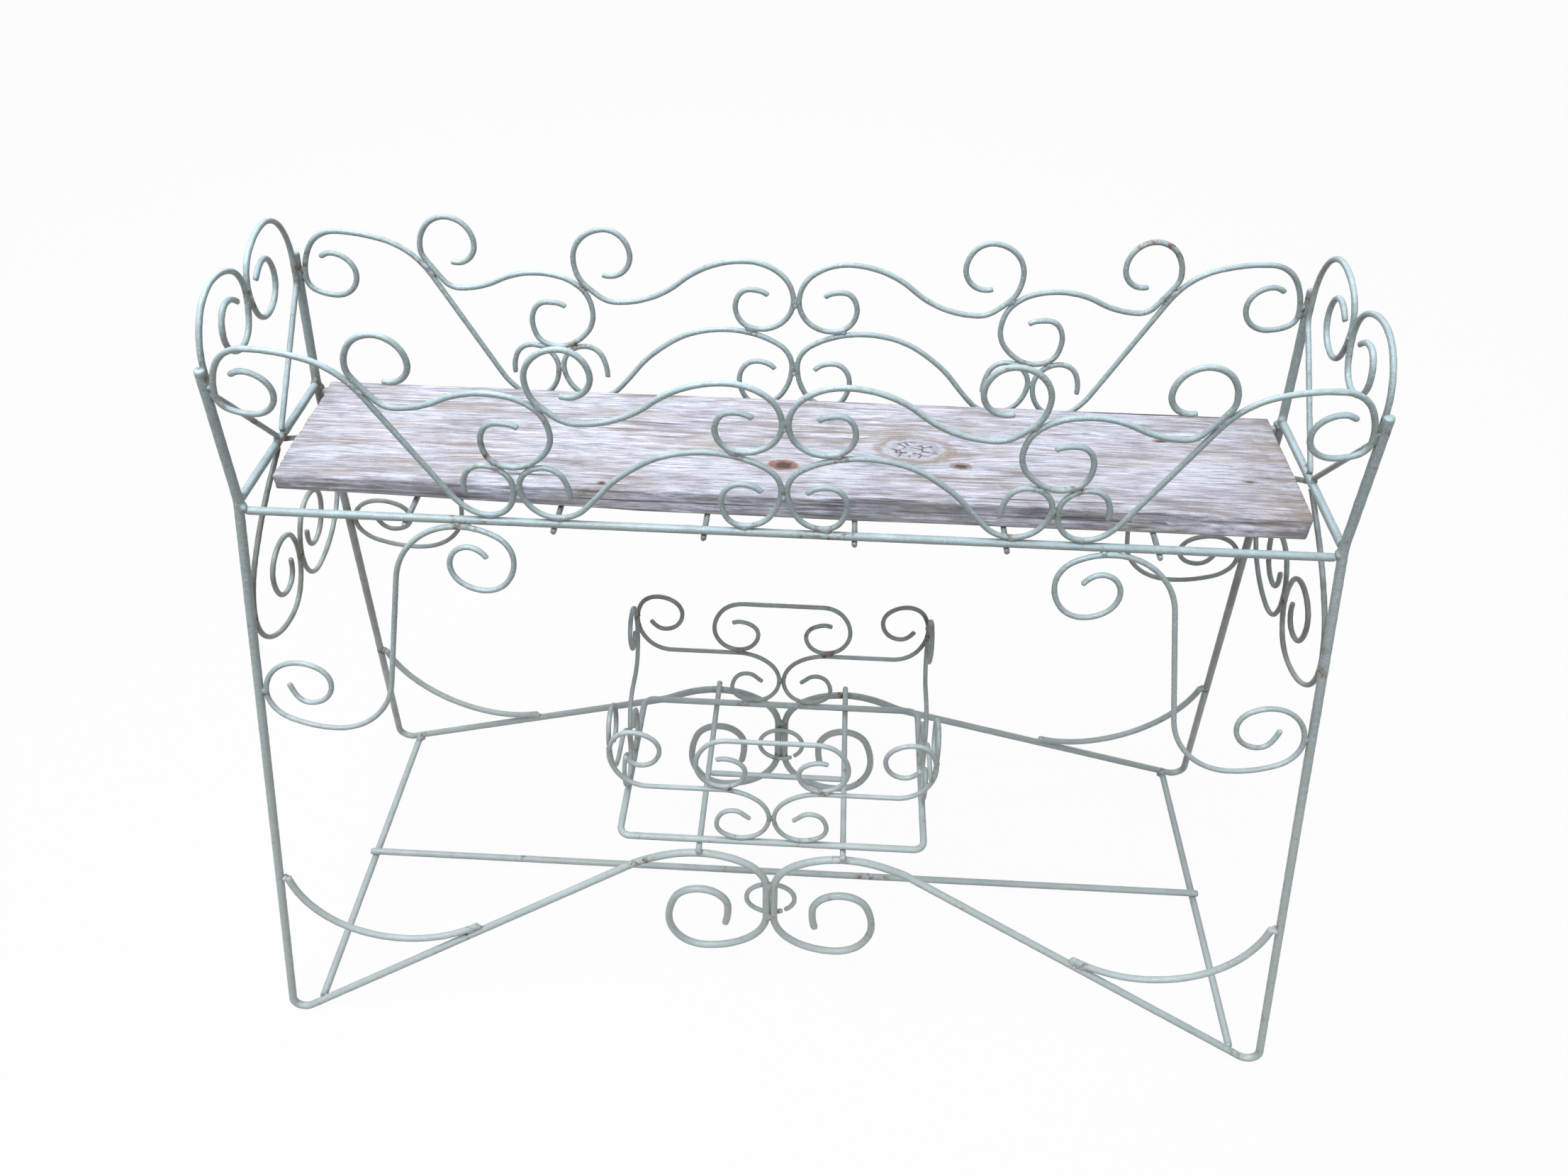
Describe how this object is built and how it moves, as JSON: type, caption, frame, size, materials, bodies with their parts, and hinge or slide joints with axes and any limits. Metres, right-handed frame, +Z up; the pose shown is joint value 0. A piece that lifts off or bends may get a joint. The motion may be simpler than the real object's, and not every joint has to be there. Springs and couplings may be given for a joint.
{
  "type": "potting bench",
  "caption": "Slim potting bench of bent round rod with scroll panels on all sides, splayed legs, a low scroll basket and a loose weathered plank as its top.",
  "frame": {"origin": "on the ground, under the middle of the bench", "axes": "+X along the bench towards its right end, -Y towards the front, +Z up"},
  "size_m": [1.1824, 0.4506, 0.8982],
  "materials": {
    "frame_paint": "worn satin",
    "plank_wood": "weathered matt"
  },
  "bodies": {
    "frame": {"leg_front_right": "frame_paint", "leg_front_left": "frame_paint", "leg_back_right": "frame_paint", "leg_back_left": "frame_paint", "rail_front": "frame_paint", "rail_back": "frame_paint", "rail_end_right": "frame_paint", "rail_end_left": "frame_paint", "shelf_rods": "frame_paint", "crest_outer_front_right": "frame_paint", "crest_outer_front_left": "frame_paint", "crest_outer_back_right": "frame_paint", "crest_outer_back_left": "frame_paint", "crest_lower_front_right": "frame_paint", "crest_lower_front_left": "frame_paint", "crest_lower_back_right": "frame_paint", "crest_lower_back_left": "frame_paint", "crest_wave_front_right": "frame_paint", "crest_wave_front_left": "frame_paint", "crest_wave_back_right": "frame_paint", "crest_wave_back_left": "frame_paint", "crest_crown_front_right": "frame_paint", "crest_crown_front_left": "frame_paint", "crest_crown_back_right": "frame_paint", "crest_crown_back_left": "frame_paint", "bracket_front_right": "frame_paint", "bracket_front_left": "frame_paint", "bracket_back_right": "frame_paint", "bracket_back_left": "frame_paint", "brace_front_right": "frame_paint", "brace_front_left": "frame_paint", "brace_back_right": "frame_paint", "brace_back_left": "frame_paint", "end_panel_front_right": "frame_paint", "end_panel_front_left": "frame_paint", "end_panel_back_right": "frame_paint", "end_panel_back_left": "frame_paint", "end_bracket_front_right": "frame_paint", "end_bracket_front_left": "frame_paint", "end_bracket_back_right": "frame_paint", "end_bracket_back_left": "frame_paint", "ground_rod_right": "frame_paint", "ground_rod_left": "frame_paint", "stretcher": "frame_paint", "ring_front": "frame_paint", "ring_back": "frame_paint", "basket_ring": "frame_paint", "basket_runners": "frame_paint", "basket_tie": "frame_paint", "basket_front_right": "frame_paint", "basket_front_left": "frame_paint", "basket_front_cup": "frame_paint", "basket_back_right": "frame_paint", "basket_back_left": "frame_paint", "basket_back_cup": "frame_paint", "basket_side_right": "frame_paint", "basket_side_left": "frame_paint"},
    "plank": {"board": "plank_wood"}
  },
  "joints": [
    {"name": "board_lift", "type": "slide", "parent": "frame", "child": "plank", "axis": [0, 0, 1], "range_m": [0, 0.25]}
  ]
}
